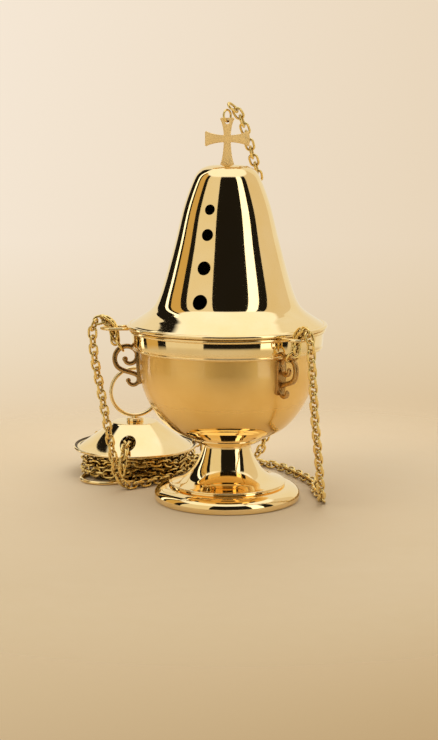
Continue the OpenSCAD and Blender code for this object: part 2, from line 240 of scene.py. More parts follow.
def brushed_brass():
    """Satin bowl: fine hoops left by brushing on the lathe, brighter towards the foot, and lacquered."""
    m = metal("satin_brass", (1.0, 0.69, 0.24), (0.96, 0.64, 0.20), 0.44, 0.08, 0.04, 90, (1, 1, 22))
    tree = m.node_tree
    shader = tree.nodes["Principled BSDF"]
    where = node(tree, "ShaderNodeTexCoord").outputs["Object"]
    height = node(tree, "ShaderNodeSeparateXYZ", {0: where}).outputs[2]
    dulling = spread(tree, height, 0.04, 1.0, 0.050, 0.080)
    grain = shader.inputs["Roughness"].links[0].from_socket
    rough = node(tree, "ShaderNodeMath", {0: grain, 1: dulling}, operation="MULTIPLY").outputs[0]
    tree.links.new(rough, shader.inputs["Roughness"])
    shader.inputs["Coat Weight"].default_value = 0.6
    shader.inputs["Coat Roughness"].default_value = 0.03
    shader.inputs["Coat IOR"].default_value = 1.6
    return m


def matt_brass():
    """Cross: cast and left matt, so that it scatters light as well as reflecting it."""
    m = metal("cast_brass", (0.98, 0.70, 0.30), (0.92, 0.62, 0.24), 0.42, 0.08, 0.01, 300)
    m.node_tree.nodes["Principled BSDF"].inputs["Metallic"].default_value = 0.45
    return m


def make_materials():
    gold, deep_gold = (1.0, 0.81, 0.47), (0.98, 0.76, 0.38)
    chain = metal("chain_brass", (1.0, 0.80, 0.34), (0.98, 0.71, 0.25), 0.07, 0.10, 0.06, 900)
    dark = metal("dark_brass", (0.66, 0.42, 0.17), (0.46, 0.28, 0.10), 0.22, 0.16, 0.25, 600)
    return {
        "polished": metal("polished_brass", gold, deep_gold, 0.035, 0.035, 0.02, 700),
        "satin": brushed_brass(),
        # chain: painted shade darkens the gaps between the links
        "chain": darken_hollows_dirt_and_shade(chain, (0.20, 0.105, 0.035), 0.004, 0.25),
        "wire": metal("ring_brass", (1.0, 0.82, 0.47), (0.96, 0.74, 0.36), 0.08, 0.08, 0.05, 500),
        "cast": matt_brass(),
        # brackets: dirt together with painted shade darkens the scroll's recesses
        "dark": darken_hollows_dirt_and_shade(dark, (0.07, 0.035, 0.012), 0.003, 0.7),
        "soot": metal("smoked_brass", (0.16, 0.10, 0.045), (0.03, 0.02, 0.012), 0.35, 0.25, 0.3, 300),
        "steel": metal("dull_steel", (0.52, 0.51, 0.49), (0.34, 0.33, 0.32), 0.3, 0.2, 0.2, 400),
    }


MAT = make_materials()

# ---- mesh building ----

def face_outward(mesh):
    turned_out = bmesh.new()
    turned_out.from_mesh(mesh)
    bmesh.ops.recalc_face_normals(turned_out, faces=turned_out.faces)
    turned_out.to_mesh(mesh)
    turned_out.free()


def new_object(name, vertices, faces):
    """An object in the scene, from vertices in millimetres."""
    mesh = bpy.data.meshes.new(name)
    mesh.from_pydata([tuple(Vector(v) * MM) for v in vertices], [], faces)
    obj = bpy.data.objects.new(name, mesh)
    bpy.context.scene.collection.objects.link(obj)
    return obj


def add_object(name, vertices, faces, material, body, replaces=()):
    """A finished piece: its mesh, its finish, and the CAD body it rides on."""
    obj = new_object(name, vertices, faces)
    face_outward(obj.data)
    obj.data.polygons.foreach_set("use_smooth", [True] * len(obj.data.polygons))
    obj.data.materials.append(MAT[material])
    if body:
        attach(obj, body)
    if replaces:
        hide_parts(*replaces)
    return obj


def sharpen(obj, degrees):
    """Splits the shading along the hard edges."""
    shaded = bmesh.new()
    shaded.from_mesh(obj.data)
    for e in shaded.edges:
        e.smooth = len(e.link_faces) == 2 and e.calc_face_angle(0) < math.radians(degrees)
    shaded.to_mesh(obj.data)
    shaded.free()
    return obj


def lathe(outline, count, closed=True):
    """Vertices and faces of an outline, as radius and height, turned round the Z axis."""
    vertices, faces, rows = [], [], []
    for r, z in outline:
        if r < 1e-6:
            vertices.append((0, 0, z))
            rows.append([len(vertices) - 1] * count)
            continue
        start = len(vertices)
        for k in range(count):
            a = 2 * math.pi * k / count
            vertices.append((r * math.cos(a), r * math.sin(a), z))
        rows.append(list(range(start, start + count)))
    pairs = list(zip(rows, rows[1:] + rows[:1] if closed else rows[1:]))
    for lower, upper in pairs:
        for k in range(count):
            n = (k + 1) % count
            corners = [lower[k], lower[n], upper[n], upper[k]]
            face = [v for i, v in enumerate(corners) if v not in corners[:i]]
            if len(face) > 2:
                faces.append(face)
    return vertices, faces


def turned(name, outline, material, body, replaces=(), at=(0, 0, 0), count=256, crease=CREASE):
    vertices, faces = lathe(outline, count)
    vertices = [Vector(v) + Vector(at) for v in vertices]
    return sharpen(add_object(name, vertices, faces, material, body, replaces), crease)


def torus_mesh(place, r, wire, count, section):
    """A ring of round wire; place is the matrix of its centre, with its axis along Z."""
    vertices = []
    for i in range(count):
        a = math.radians(360 * i / count)
        for k in range(section):
            b = 2 * math.pi * k / section
            d = r + wire / 2 * math.cos(b)
            vertices.append(place @ Vector((d * math.cos(a), d * math.sin(a), wire / 2 * math.sin(b))))
    return vertices, tube_faces(count, section, True)


def tube_faces(rings, section, closed):
    faces = []
    for i in range(rings if closed else rings - 1):
        j = (i + 1) % rings
        for k in range(section):
            n = (k + 1) % section
            faces.append((i * section + k, j * section + k, j * section + n, i * section + n))
    if not closed:
        faces.append(tuple(reversed(range(section))))
        faces.append(tuple((rings - 1) * section + k for k in range(section)))
    return faces


def tube(points, wire, section=16, closed=False):
    """Round wire along flat or curved points, with twist-free sections."""
    n = len(points)
    ahead = [(points[(i + 1) % n if closed else min(i + 1, n - 1)]
              - points[i - 1 if closed else max(i - 1, 0)]).normalized() for i in range(n)]
    across = ahead[0].orthogonal().normalized()
    vertices = []
    for p, d in zip(points, ahead):
        across = (across - across.dot(d) * d).normalized()
        other = d.cross(across)
        for k in range(section):
            b = 2 * math.pi * k / section
            vertices.append(p + wire / 2 * (math.cos(b) * across + math.sin(b) * other))
    return vertices, tube_faces(n, section, closed)


def joined(parts):
    vertices, faces = [], []
    for v, f in parts:
        faces += [tuple(i + len(vertices) for i in face) for face in f]
        vertices += v
    return vertices, faces


def placed(x=0, y=0, z=0, turn=0, tilt=0, lean=0):
    """A matrix: tilt about X, then lean about Y, then turn about Z, then move."""
    rotate = (Matrix.Rotation(math.radians(turn), 4, "Z") @ Matrix.Rotation(math.radians(lean), 4, "Y")
              @ Matrix.Rotation(math.radians(tilt), 4, "X"))
    return Matrix.Translation((x, y, z)) @ rotate


def extruded(outline, thick, place, bevel):
    """A flat plate with softened edges: an outline in X and Z, thick along Y."""
    b = bmesh.new()
    front = [b.verts.new((p[0], -thick / 2, p[1])) for p in outline]
    face = b.faces.new(front)
    made = bmesh.ops.extrude_face_region(b, geom=[face])
    back = [g for g in made["geom"] if isinstance(g, bmesh.types.BMVert)]
    bmesh.ops.translate(b, verts=back, vec=(0, thick, 0))
    bmesh.ops.recalc_face_normals(b, faces=b.faces)
    rims = [e for e in b.edges if e.calc_face_angle(0) > math.radians(60)]
    bmesh.ops.bevel(b, geom=rims, offset=bevel, segments=3, profile=0.5, affect="EDGES",
                    clamp_overlap=True)
    b.transform(place)
    b.verts.ensure_lookup_table()
    vertices = [v.co.copy() for v in b.verts]
    faces = [tuple(v.index for v in f.verts) for f in b.faces]
    b.free()
    return vertices, faces


def drill(obj, cutters):
    """Cuts holes, and keeps the uncut surface's shading so that reflections stay true."""
    before = obj.data.copy()
    tree = BVHTree.FromPolygons([v.co for v in before.vertices], [p.vertices[:] for p in before.polygons])
    flat = [p.normal.copy() for p in before.polygons]
    smooth = [v.normal.copy() for v in before.vertices]
    cutter = new_object("cutters", *joined(cutters))
    face_outward(cutter.data)
    cut = obj.modifiers.new("holes", "BOOLEAN")
    cut.object = cutter
    cut.operation = "DIFFERENCE"
    cut.solver = "EXACT"
    bpy.context.view_layer.update()
    graph = bpy.context.evaluated_depsgraph_get()
    result = bpy.data.meshes.new_from_object(obj.evaluated_get(graph))
    obj.modifiers.clear()
    obj.data = result
    bpy.data.objects.remove(cutter)
    normals = []
    for p in result.polygons:
        for i in p.loop_indices:
            co = result.vertices[result.loops[i].vertex_index].co
            _, _, face, _ = tree.find_nearest(co * 0.9 + p.center * 0.1)
            corners = before.polygons[face].vertices
            weights = [1 / (1e-7 + (before.vertices[c].co - co).length) for c in corners]
            blended = sum((smooth[c] * w for c, w in zip(corners, weights)), Vector()).normalized()
            on_surface = p.normal.dot(flat[face]) > 0.95 and blended.dot(flat[face]) > 0.95
            normals.append(blended if on_surface else p.normal)
    result.normals_split_custom_set([tuple(n) for n in normals])
    return obj


def rod(start, end, r, count=48):
    """A closed cylinder between two points, for cutting."""
    axis = (end - start).normalized()
    across = axis.orthogonal().normalized()
    other = axis.cross(across)
    ring = [(math.cos(2 * math.pi * k / count), math.sin(2 * math.pi * k / count)) for k in range(count)]
    vertices = [p + r * (c * across + s * other) for p in (start, end) for c, s in ring]
    return vertices, tube_faces(2, count, False)


def smoke_inside(obj, axis=(0, 0)):
    """Gives the faces that look at the piece's own axis the smoked finish."""
    obj.data.materials.append(MAT["soot"])
    for p in obj.data.polygons:
        out = Vector((p.center.x - axis[0] * MM, p.center.y - axis[1] * MM))
        if p.normal.x * out.x + p.normal.y * out.y < -0.15 * out.length:
            p.material_index = 1


# ---- bowl, collar and foot ----

def bowl_outline():
    """The bowl's outer line, from its flat base to its widest height."""
    return (corners((12, BOWL_BASE), (COLLAR_R, BOWL_BASE))
            + spline([(COLLAR_R + 2, BOWL_BASE + 0.4), (31, 43.8), (36.5, 46.9)], 8)
            + arc((0, BALL_Z), BOWL_R, -46, 0, 60))


def build_bowl():
    outer = bowl_outline()
    inner = beside(outer, -WALL)[::-1]
    shoulder = arc((BAND_R - 1.9, BAND_Z + 0.35), 0.35, -90, 0, 5)
    band_low = BAND_Z + WALL
    outline = (corners((0, BOWL_BASE)) + outer
               + corners((BOWL_R + 0.1, BAND_Z - 0.1), (BOWL_R + 0.6, BAND_Z)) + shoulder
               + corners((BAND_R - 1.6, band_low), (BOWL_R - WALL, band_low))
               + inner + corners((0, BOWL_BASE + WALL)))
    smoke_inside(turned("bowl_spun", outline, "satin", "bowl", ["bowl"]))
    lip = arc((BAND_R + 0.1, LIP_Z), 1.2, -72, 200, 24)
    band = (corners((BAND_R - 2.8, band_low), (BAND_R - 1.6, band_low))
            + arc((BAND_R - 1.5, band_low - 0.9), 0.55, 200, 350, 8)
            + spline([(BAND_R - 1.0, band_low), (BAND_R - 0.55, band_low + 2),
                      (BAND_R - 0.25, LIP_Z - 4.5), (BAND_R - 0.2, LIP_Z - 1.3)], 6) + lip)
    turned("bowl_polished_band", band, "polished", "bowl", ["bowl_band"])
    bead = arc((BAND_R - 1.0, band_low - 0.3), 0.5, 0, 345, 15)
    turned("band_lower_bead", bead, "polished", "bowl")


def build_collar():
    rim = COLLAR_R - 0.4
    outline = (corners((0, FOOT_TOP), (NECK_R + 0.6, FOOT_TOP))
               + bezier((NECK_R + 1, FOOT_TOP + 0.5), (NECK_R + 4, FOOT_TOP + 0.8),
                        (COLLAR_R - 1.4, BOWL_BASE - 2.6), (COLLAR_R, BOWL_BASE - 0.9), 14)
               + arc((rim, BOWL_BASE - 0.4), 0.4, 0, 90, 6) + corners((0, BOWL_BASE)))
    turned("collar_saucer", outline, "polished", "bowl", ["collar"])


def build_foot():
    step = FOOT_R - 9.5
    neck = spline([(NECK_R - 0.4, FOOT_TOP), (NECK_R, 33), (NECK_R + 2.4, 26.5), (NECK_R + 7, 19.5),
                   (NECK_R + 13, 14.6), (FOOT_R - 11, 12.2)], 12)
    outline = (corners((0, FOOT_TOP)) + neck + corners((step - 0.9, 11.95))
               + arc((step - 0.6, 11.2), 0.7, 85, -85, 12) + corners((step - 1.2, 10.2))
               + bezier((step - 1, 9.6), (FOOT_R - 3.5, 9.4), (FOOT_R, 6.4), (FOOT_R, 3.2), 20)
               + bezier((FOOT_R, 2.6), (FOOT_R, 1.2), (FOOT_R - 0.4, 0.4), (FOOT_R - 1.2, 0), 8)
               + corners((FOOT_R - 5, 0), (FOOT_R - 5, 3), (step - 2.6, 8.2))
               + beside(neck, 1.4)[::-1] + corners((NECK_R - 3, FOOT_TOP - 3), (0, FOOT_TOP - 3)))
    turned("foot_spun", outline, "polished", "bowl", ["foot"], crease=40)


# ---- lid ----

def build_lid():
    """The bell from its crown down to the brim, with its smoke holes and rolled rim."""
    crown = LID_TOP + 1.1
    line = spline([(4, crown), (9, crown - 0.3), (13.5, crown - 1.3), (17.8, 212), (21.6, 206),
                   (27.5, 190), (33.3, 167), (40.5, 141.5), (45.2, 129), (49.5, 123.6), (55, 119.6),
                   (LID_R - 3, 115.4)], 14)
    outline = (corners((0, crown)) + line + [line[-1] + Vector((0.6, -0.9))]
               + beside(line, WALL)[::-1] + corners((0, crown - WALL)))
    lid = turned("lid_bell", outline, "polished", "lid", ["lid"])
    cutters = []
    for a in SMOKE_AZ:
        for z, d in SMOKE:
            cutters.append(rod(around(a, 18, z - 3), around(a, 66, z + 5), d / 2))
    smoke_inside(drill(lid, cutters))
    rim = torus_mesh(placed(z=RIM_Z), LID_R - RIM_WIRE / 2, RIM_WIRE, 256, 24)
    add_object("lid_rolled_rim", *rim, "polished", "lid", ["lid_rim"])


def build_guide_loops():
    half = (LOOP_W - LOOP_WIRE) / 2
    bend = LOOP_END - LOOP_W / 2
    inside = LID_R - 1.2
    middle = (LID_R + bend) / 2
    flat = (corners((inside, -half), (middle, -half)) + arc((bend, 0), half, -90, 90, 28)
            + corners((middle, half), (inside, half)))
    for name, az in AZIMUTH.items():
        turn = Matrix.Rotation(math.radians(az), 3, "Z")
        wire = tube([turn @ Vector((p.x, p.y, LOOP_Z)) for p in flat], LOOP_WIRE)
        add_object("guide_loop_wire_" + name, *wire, "wire", "lid", ["guide_loop_" + name])


def arm(length, w0, w1):
    """One arm of the cross, along Y: w0 wide at the middle and w1 at its end."""
    edge = bezier((w0 / 2, w0 / 2), (w0 / 2 + 0.2, length * 0.45), (w1 / 2 - 1.4, length * 0.8),
                  (w1 / 2, length - 0.8), 12)
    end = corners((w1 / 2 - 0.6, length), (0.6 - w1 / 2, length))
    return edge + end + [Vector((-p.x, p.y)) for p in reversed(edge)]


def build_cross():
    """Four flared arms joined in one outline, with rounded arrises."""
    top, side, waist = 13, CROSS_W / 2, 4.4
    middle = CROSS_H - top
    outline = []
    for degrees, length, end in ((0, top, 9.2), (-90, side, 9.6), (180, middle, 9.2), (90, side, 9.6)):
        turn = Matrix.Rotation(math.radians(degrees), 2)
        points = [turn @ p for p in reversed(arm(length, waist, end))]
        outline += points if not outline else points[1:]
    plate = extruded(outline[:-1], CROSS_T, placed(z=LID_TOP + middle), 0.35)
    cross = sharpen(add_object("cross_plate", *plate, "cast", "lid", ["cross"]), 30)
    hole = Vector((0, 0, LID_TOP + CROSS_H - 2.7))
    drill(cross, [rod(hole + Vector((0, -5, 0)), hole + Vector((0, 5, 0)), 1.3, 32)])
    ring = torus_mesh(placed(z=LID_TOP + CROSS_H + 1.3, turn=52, tilt=90), 3.6, EYE_WIRE, 48, 16)
    add_object("cross_top_ring", *ring, "chain", "lid", ["cross_ring"])


# ---- brackets ----

def band_outline(line, widths):
    """Both edges of a band along a line, whose width runs through the three given widths."""
    m = len(line) - 1

    def half(i):
        t = i / m
        first, last = (widths[0], widths[1]) if t < 0.5 else (widths[1], widths[2])
        return (first + (last - first) * ((t * 2) % 1 if t < 1 else 1)) / 2

    left = [line[i] + half(i) * sideways(line, i) for i in range(m + 1)]
    right = [line[i] - half(i) * sideways(line, i) for i in range(m + 1)]
    return left, right


def scroll_line():
    """The bracket's S: a spiral that opens downwards, a stem, and a small curl at the foot."""
    top = []
    for i in range(49):
        a, r = 330 - 370 * i / 48, 2.3 + 6.9 * (i / 48) ** 0.8
        top += arc((63.6, 93.6), r, a, a, 1)[:1]
    foot = []
    for i in range(21):
        a, r = 150 + 200 * i / 20, 4.2 - 1.5 * i / 20
        foot += arc((61, 79), r, a, a, 1)[:1]
    stem = bezier(top[-1], top[-1] + Vector((-3.2, -3.8)), foot[0] + Vector((1.8, 3)), foot[0], 12)
    return top + stem[1:-1] + foot


def scroll_bar(line, widths, thick):
    """A bar of rounded rectangular section swept along the scroll."""
    left, right = band_outline(line, widths)
    corner = 0.35
    vertices = []
    for a, b in zip(left, right):
        across = (b - a).normalized()
        inner_a, inner_b = a + across * corner, b - across * corner
        h = thick / 2
        section = [(inner_a, -h), (inner_b, -h), (b, corner - h), (b, h - corner), (inner_b, h),
                   (inner_a, h), (a, h - corner), (a, corner - h)]
        vertices += [Vector((p.x, y, p.y)) for p, y in section]
    return vertices, tube_faces(len(line), 8, False)


def strap_mesh(width, thick):
    """The strip that lies on the bowl, bent to its curve."""
    foot, top = 76, 97.5
    line = [p for p in bowl_outline() if foot < p.y] + corners((BOWL_R, 94), (BOWL_R, top))
    vertices = []
    for i, p in enumerate(line):
        out = sideways(line, i)
        ends = 0.6 if i in (0, len(line) - 1) else 0.0
        a, b = p + out * 0.02, p + out * thick
        w = width / 2 - ends
        vertices += [Vector((a.x, -w, a.y)), Vector((a.x, w, a.y)), Vector((b.x, w - 0.4, b.y)),
                     Vector((b.x, 0.4 - w, b.y))]
    return vertices, tube_faces(len(line), 4, False)


def ball(place, r, squash, count=20):
    """A sphere flattened along its axis."""
    angles = [math.pi * i / 10 for i in range(11)]
    outline = [(r * math.sin(a), -r * squash * math.cos(a)) for a in angles]
    outline[0], outline[-1] = (0, -r * squash), (0, r * squash)
    vertices, faces = lathe(outline, count, closed=False)
    return [place @ Vector(v) for v in vertices], faces


def build_brackets():
    line = scroll_line()
    widths, thick = (2.4, 3.2, 2.2), 2.4
    for name, az in AZIMUTH.items():
        turn = placed(turn=az)
        parts = [scroll_bar(line, widths, thick), strap_mesh(7, 1.6)]
        for end, r in ((line[0], 1.8), (line[-1], 1.6)):
            parts.append(ball(placed(end.x, 0, end.y, tilt=90), r, 0.72))
        vertices, faces = joined(parts)
        vertices = [turn @ v for v in vertices]
        plate = add_object("bracket_scroll_" + name, vertices, faces, "dark", "bowl", ["bracket_" + name])
        sharpen(plate, 50)
        ring = torus_mesh(placed(turn=az) @ placed(69.2, 0, 101.6, lean=-55), 4.6, LINK_WIRE, 64, 16)
        add_object("jump_ring_wire_" + name, *ring, "chain", "bowl", ["jump_ring_" + name])


def build_rivets():
    heads = []
    for az in AZIMUTH.values():
        for z in (79, 94.5):
            drop = max(BALL_Z - z, 0)
            lean = math.degrees(math.asin(drop / BOWL_R))
            u = math.sqrt(BOWL_R ** 2 - drop ** 2)
            out = placed(turn=az) @ placed(u, 0, z, lean=90 + lean * 0.5)
            heads.append(ball(out @ placed(z=1.7), 1.7, 0.5, 24))
    add_object("rivet_heads", *joined(heads), "dark", "bowl")


# ---- chains ----

def link_mesh():
    """One oval link lying along X."""
    count, section = 10, 12
    bend, straight = (LINK_W - LINK_WIRE) / 2, (LINK_L - LINK_W) / 2
    path = [Vector((straight + bend * math.cos(a), bend * math.sin(a), 0))
            for a in (math.radians(-90 + 180 * i / count) for i in range(count + 1))]
    path += [Vector((-p.x, -p.y, 0)) for p in path]
    return tube(path, LINK_WIRE, section, closed=True)


LINK = link_mesh()


def joints_along(route):
    """Evenly spaced joints between links, along a smooth curve through the route's points."""
    curve = spline(route, 8)
    lengths = [0.0]
    for a, b in zip(curve, curve[1:]):
        lengths.append(lengths[-1] + (b - a).length)
    count = round(lengths[-1] / PITCH)
    out, k = [], 0
    for i in range(count + 1):
        s = lengths[-1] * i / count
        while k < len(lengths) - 2 and lengths[k + 1] < s:
            k += 1
        t = (s - lengths[k]) / (lengths[k + 1] - lengths[k])
        p = curve[k].lerp(curve[k + 1], min(t, 1))
        p.z = max(p.z, FLOOR_Z)
        out.append(p)
    return out


def across_first(d):
    """A level direction across d, or any across it where it stands upright."""
    return (Vector((1, 0, 0)) if abs(d.z) > 0.9 else UP).cross(d).normalized()


def chain_mesh(joints, roll, wander=None):
    """Links strung between the joints, each a quarter turn from the last, give or take a wander."""
    parts, side = [], None
    for i, (a, b) in enumerate(zip(joints, joints[1:])):
        x = (b - a).normalized()
        side = across_first(x) if side is None else (side - side.dot(x) * x).normalized()
        z = x.cross(side)
        turn = math.radians(roll + i % 2 * 90 + (wander.uniform(-14, 14) if wander else 0))
        y_axis = math.cos(turn) * side + math.sin(turn) * z
        z_axis = x.cross(y_axis)
        centre = (a + b) / 2
        parts.append(([centre + x * v.x + y_axis * v.y + z_axis * v.z for v in LINK[0]], LINK[1]))
    return parts


def over_loop(az):
    """A side chain's start: up from the bracket's ring, over the guide loop and down outside it."""
    path = ((71.8, 104.6), (72.2, 110), (74.8, 116), (80, 118.8), (85, 116), (86.2, 109))
    return [around(az, u, z) for u, z in path]


ROUTE = {
    "left": over_loop(AZIMUTH["left"]) + [
        (-85, -4, 92), (-82.5, 3, 74), (-79.5, 10, 52), (-76, 15, 28), (-73, 18, 11), (-67, 21, FLOOR_Z),
        (-57, 27, FLOOR_Z), (-47, 36, FLOOR_Z), (-37, 46, FLOOR_Z), (-30, 55, FLOOR_Z)],
    "right": over_loop(AZIMUTH["right"]) + [
        (51, -66, 90), (53.5, -54, 62), (57, -39, 34), (59.5, -26, 12), (61, -17, FLOOR_Z),
        (61, -6, FLOOR_Z), (58.5, 11, FLOOR_Z), (59, 28, FLOOR_Z), (54, 44, FLOOR_Z), (47, 60, FLOOR_Z),
        (39, 76, FLOOR_Z), (27, 88, FLOOR_Z), (11, 93, FLOOR_Z), (-3, 93, FLOOR_Z), (-13, 91.5, FLOOR_Z)],
    "back": over_loop(AZIMUTH["back"]) + [
        (35.5, 81, 90), (34, 86, 64), (31, 92, 36), (27, 98, 16), (22, 104, 5), (13, 108, FLOOR_Z),
        (-2, 109, FLOOR_Z), (-14, 107.5, FLOOR_Z), (-23, 105, FLOOR_Z)],
    "centre": [
        (1.5, 0.6, 252.6), (7, 4, 248), (12, 9, 236), (16, 15, 222), (20, 21, 208), (20, 27.5, 195),
        (15, 35.5, 176), (8, 42.5, 154), (0, 50, 133), (-5, 57, 124.5), (-9, 65, 120), (-11.6, 71.6, 113),
        (-12, 73.4, 100), (-12.6, 74.6, 80), (-13.6, 76, 56), (-14.8, 77.6, 30), (-15.5, 79.5, 8)],
}
ROLL = {"left": 120, "right": 64, "back": 2, "centre": 45}
CAP_ROUTE = [(-66.9, 52.5, 22.6), (-67.6, 47, 25.4), (-68.2, 42, 26.6), (-68.9, 36.4, 24.8),
             (-69.5, 31.4, 21.6), (-70, 28.8, 15.6), (-70.2, 29, 9)]


def highest_joint(joints):
    return max(range(len(joints)), key=lambda i: joints[i].z)


def bunched(joints):
    """Gathers spare links between the bracket and the loop, to be drawn out when the lid lifts."""
    top = highest_joint(joints)
    riser = []
    for i in range(top + SPARE_LINKS):
        at = top * i / (top + SPARE_LINKS)
        a, b = joints[int(at)], joints[int(at) + 1]
        riser.append(a.lerp(b, at - int(at)))
    return riser + joints[top:]


def build_chains():
    for name, route in ROUTE.items():
        joints = joints_along(route) if name == "centre" else bunched(joints_along(route))
        vertices, faces = joined(chain_mesh(joints, ROLL[name]))
        strand = add_object("chain_links_" + name, vertices, faces, "chain", None, ["chain_" + name])
        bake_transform(strand)
    cap = joined(chain_mesh(joints_along(CAP_ROUTE), 45))
    add_object("cap_chain_links", *cap, "chain", "bowl", ["cap_chain"])


def heap_turn(rng, radius, height, start, sweep, sway, centre=None):
    """One loose turn of chain round the heap, rising and falling as it goes."""
    cx, cy = centre or (CAP_X, CAP_Y)
    phase = rng.uniform(0, 6.28)
    outer = 24
    points = []
    for i in range(15):
        a = math.radians(start + sweep * i / 14)
        r = radius + sway * math.sin(3 * a + phase) + rng.uniform(-1.2, 1.2)
        z = height + 2.8 * math.sin(2 * a + phase * 2) + rng.uniform(-1.2, 1.2)
        z = min(max(z, FLOOR_Z), BRIM_Z) if r > outer else max(z, FLOOR_Z)
        points.append((cx + r * math.cos(a), cy + r * math.sin(a), z))
    return points


def build_heap():
    """The slack of all the chains, in loose turns under and inside the cap, and beside it."""
    rng = random.Random(7)
    beside_cap = (CAP_X + 26, CAP_Y + 10)
    routes = []
    for radius, height, sway in ((31.0, 2.8, 2.4), (27.0, 3.0, 2.8), (32.0, 7.4, 3.4),
                                 (35.0, 11.6, 2.4), (28.5, 13.0, 3.4), (23.5, 8.0, 3.4),
                                 (19.0, 11.0, 4.0), (20.0, 17.0, 2.5), (14.0, 19.0, 2.0),
                                 (8.0, 21.5, 1.5)):
        routes.append(heap_turn(rng, radius, height, rng.uniform(0, 360), 352, sway))
    for radius, height, sway in ((17.0, 2.8, 1.5), (14.5, 5.8, 2.0), (16.5, 8.2, 1.5)):
        routes.append(heap_turn(rng, radius, height, rng.uniform(0, 360), 350, sway, beside_cap))
    routes.append([(-62, 44, 8), (-70, 42, 5.8), (-79, 42.5, 5.4), (-88, 46, 5.6), (-95, 53, 5.6),
                   (-99, 62, 4.4), (-99, 70, 5.5), (-95, 78, 8)])
    routes.append([(-75, 48, 9), (-81, 47, 6), (-88, 49, 3.4), (-91, 56, 3.4), (-86, 62, 5), (-80, 66, 9)])
    routes.append([(-30, 56, FLOOR_Z), (-28, 64, FLOOR_Z), (-31, 72, 5), (-38, 75, 9)])
    routes.append([(-13, 91.5, FLOOR_Z), (-20, 89, FLOOR_Z), (-28, 92, 5), (-34, 88, 9)])
    routes.append([(-23, 105, FLOOR_Z), (-31, 101, FLOOR_Z), (-38, 97, 5), (-42, 90, 9)])
    routes.append([(-15.5, 79.5, 8), (-17.5, 81.5, 4), (-24, 83, 4.5), (-30, 80, 9), (-35, 82, 12)])
    parts = []
    for route in routes:
        parts += chain_mesh(joints_along(route), rng.uniform(20, 70), rng)
    vertices, faces = joined(parts)
    for v in vertices:
        v.z = max(v.z, 0.05)
    add_object("heaped_chain_links", vertices, faces, "chain", "bowl", ["chain_heap"])


# ---- chain cap and rings ----

def build_cap():
    """A cone with a rolled brim, closed at the top but for the shank's bore."""
    base, top, bead = CAP_R - 4.5, 15.0, 0.9
    outline = (corners((base - 1.4, 0), (CAP_R - bead, 0))
               + arc((CAP_R - bead, bead), bead, -90, 150, 14)
               + bezier((CAP_R - 2.2, 1.0), (CAP_R - 3, 0.8), (base + 0.8, 0.7), (base, 1.0), 8)
               + bezier((top + 1.6, CAP_H - 1.1), (top + 0.9, CAP_H - 0.5), (top + 0.6, CAP_H),
                        (top - 0.4, CAP_H), 8)
               + corners((SHANK_BORE, CAP_H), (SHANK_BORE, CAP_H - 1), (top - 0.6, CAP_H - 1)))
    cap = turned("cap_cone", outline, "polished", "bowl", ["cap"], (CAP_X, CAP_Y, CAP_Z), 192)
    centre = Vector((CAP_X, CAP_Y, CAP_Z + 8))
    hole = rod(centre + around(CAP_HOLE_AZ, 20, -2), centre + around(CAP_HOLE_AZ, 46, 3), 5.5, 64)
    smoke_inside(drill(cap, [hole]), (CAP_X, CAP_Y))
    eyes = []
    for az in (12, 132, 252):
        place = placed(CAP_X, CAP_Y, CAP_Z + 0.5, turn=az) @ placed(CAP_R + 0.4, tilt=90)
        eyes.append(torus_mesh(place, 2.8, EYE_WIRE, 40, 14))
    add_object("cap_eye_ring_wires", *joined(eyes), "chain", "bowl", ["cap_eye_rings"])


def build_handle():
    """The boss on the cap, the large ring with its shank, and the loose ring on the floor."""
    top = CAP_Z + CAP_H
    boss_h = high("handle_boss", 2) - top
    foot = Vector((CAP_X, CAP_Y, top))
    boss = (corners((SHANK_BORE, 0), (5.6, 0), (6.0, 0.4))
            + arc((5.3, boss_h - 0.7), 0.7, 0, 90, 8) + corners((SHANK_BORE, boss_h)))
    turned("handle_boss_turned", boss, "polished", "bowl", ["handle_boss"], foot, 96)
    centre = placed(CAP_X, CAP_Y, top + boss_h + 0.1 + RING_R + RING_WIRE / 2, turn=8, tilt=90)
    shank = [(0, -4.6), (2, -4.6), (2, boss_h), (1.7, boss_h + 0.9), (1.3, boss_h + 1.6),
             (0, boss_h + 1.8)]
    vertices, faces = lathe(shank, 48, closed=False)
    standing = [Vector(v) + foot for v in vertices]
    whole = joined([torus_mesh(centre, RING_R, RING_WIRE, 128, 24), (standing, faces)])
    sharpen(add_object("handle_ring_wire", *whole, "wire", "handle", ["handle_ring"]), 50)
    pull = torus_mesh(placed(PULL_X, PULL_Y, RING_WIRE / 2), RING_R, RING_WIRE, 128, 24)
    add_object("pull_ring_wire", *pull, "wire", "pull", ["pull_ring"])


def finish_kept_nodes():
    """Better finishes on the CAD nodes that stay as they are."""
    finishes = {"charcoal_pan": "steel", "stem_screw": "steel", "stem_washer": "steel",
                "stem_nut": "steel", "bracket_rivets": "dark", "lid_locating_ring": "soot",
                "cross_stud": "polished", "cross_nut": "polished", "handle_nut": "polished"}
    for name, finish in finishes.items():
        obj = NODES[name]
        for i in range(len(obj.material_slots)):
            obj.material_slots[i].material = MAT[finish]


# ---- studio ----

